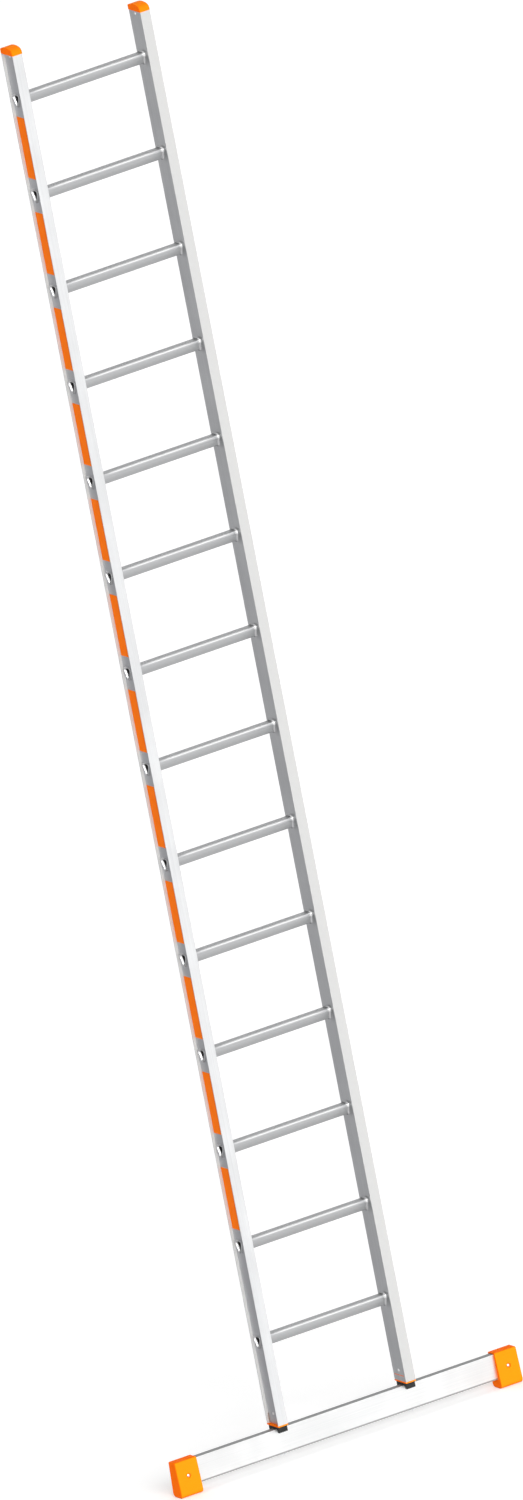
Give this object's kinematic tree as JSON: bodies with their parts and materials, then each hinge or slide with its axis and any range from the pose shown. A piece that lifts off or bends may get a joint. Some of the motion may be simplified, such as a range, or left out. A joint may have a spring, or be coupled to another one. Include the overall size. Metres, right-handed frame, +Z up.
{
  "type": "single section ladder",
  "caption": "Straight leaning ladder with channelled box-section stiles, swaged hollow rungs, plastic top caps and a wide stabiliser bar on rounded shoes, for climbing.",
  "frame": {"origin": "on the floor, under the middle of the stabiliser bar", "axes": "+X along the rungs to the climber's right, +Y from the climber's side to the wall side, +Z up the stiles"},
  "size_m": [1.1134, 0.0666, 4.1486],
  "materials": {
    "aluminium": "extruded, satin mill finish",
    "orange_plastic": "moulded, satin",
    "rubber": "moulded, matt",
    "zinc_plated_steel": "zinc plated",
    "label_film": "satin vinyl film"
  },
  "bodies": {
    "root": {"left_stile": "aluminium", "right_stile": "aluminium", "rung_01": "aluminium", "rung_02": "aluminium", "rung_03": "aluminium", "rung_04": "aluminium", "rung_05": "aluminium", "rung_06": "aluminium", "rung_07": "aluminium", "rung_08": "aluminium", "rung_09": "aluminium", "rung_10": "aluminium", "rung_11": "aluminium", "rung_12": "aluminium", "rung_13": "aluminium", "rung_14": "aluminium", "stabiliser_bar": "aluminium", "top_cap_rivets": "aluminium", "foot_rivets": "aluminium", "left_top_cap": "orange_plastic", "right_top_cap": "orange_plastic", "left_foot_plug": "orange_plastic", "right_foot_plug": "orange_plastic", "left_bar_shoe": "orange_plastic", "right_bar_shoe": "orange_plastic", "left_front_pad": "rubber", "right_front_pad": "rubber", "left_rear_pad": "rubber", "right_rear_pad": "rubber", "foot_insert_plates": "zinc_plated_steel", "stabiliser_studs": "zinc_plated_steel", "bar_spacer_sleeves": "zinc_plated_steel", "stabiliser_washers": "zinc_plated_steel", "stabiliser_nuts": "zinc_plated_steel", "bar_shoe_screws": "zinc_plated_steel", "left_label_01": "label_film", "left_label_02": "label_film", "left_label_03": "label_film", "left_label_04": "label_film", "left_label_05": "label_film", "left_label_06": "label_film", "left_label_07": "label_film", "left_label_08": "label_film", "left_label_09": "label_film", "left_label_10": "label_film", "left_label_11": "label_film", "left_label_12": "label_film", "right_label_01": "label_film", "right_label_02": "label_film", "right_label_03": "label_film", "right_label_04": "label_film", "right_label_05": "label_film", "right_label_06": "label_film", "right_label_07": "label_film", "right_label_08": "label_film", "right_label_09": "label_film", "right_label_10": "label_film", "right_label_11": "label_film", "right_label_12": "label_film"}
  },
  "joints": []
}
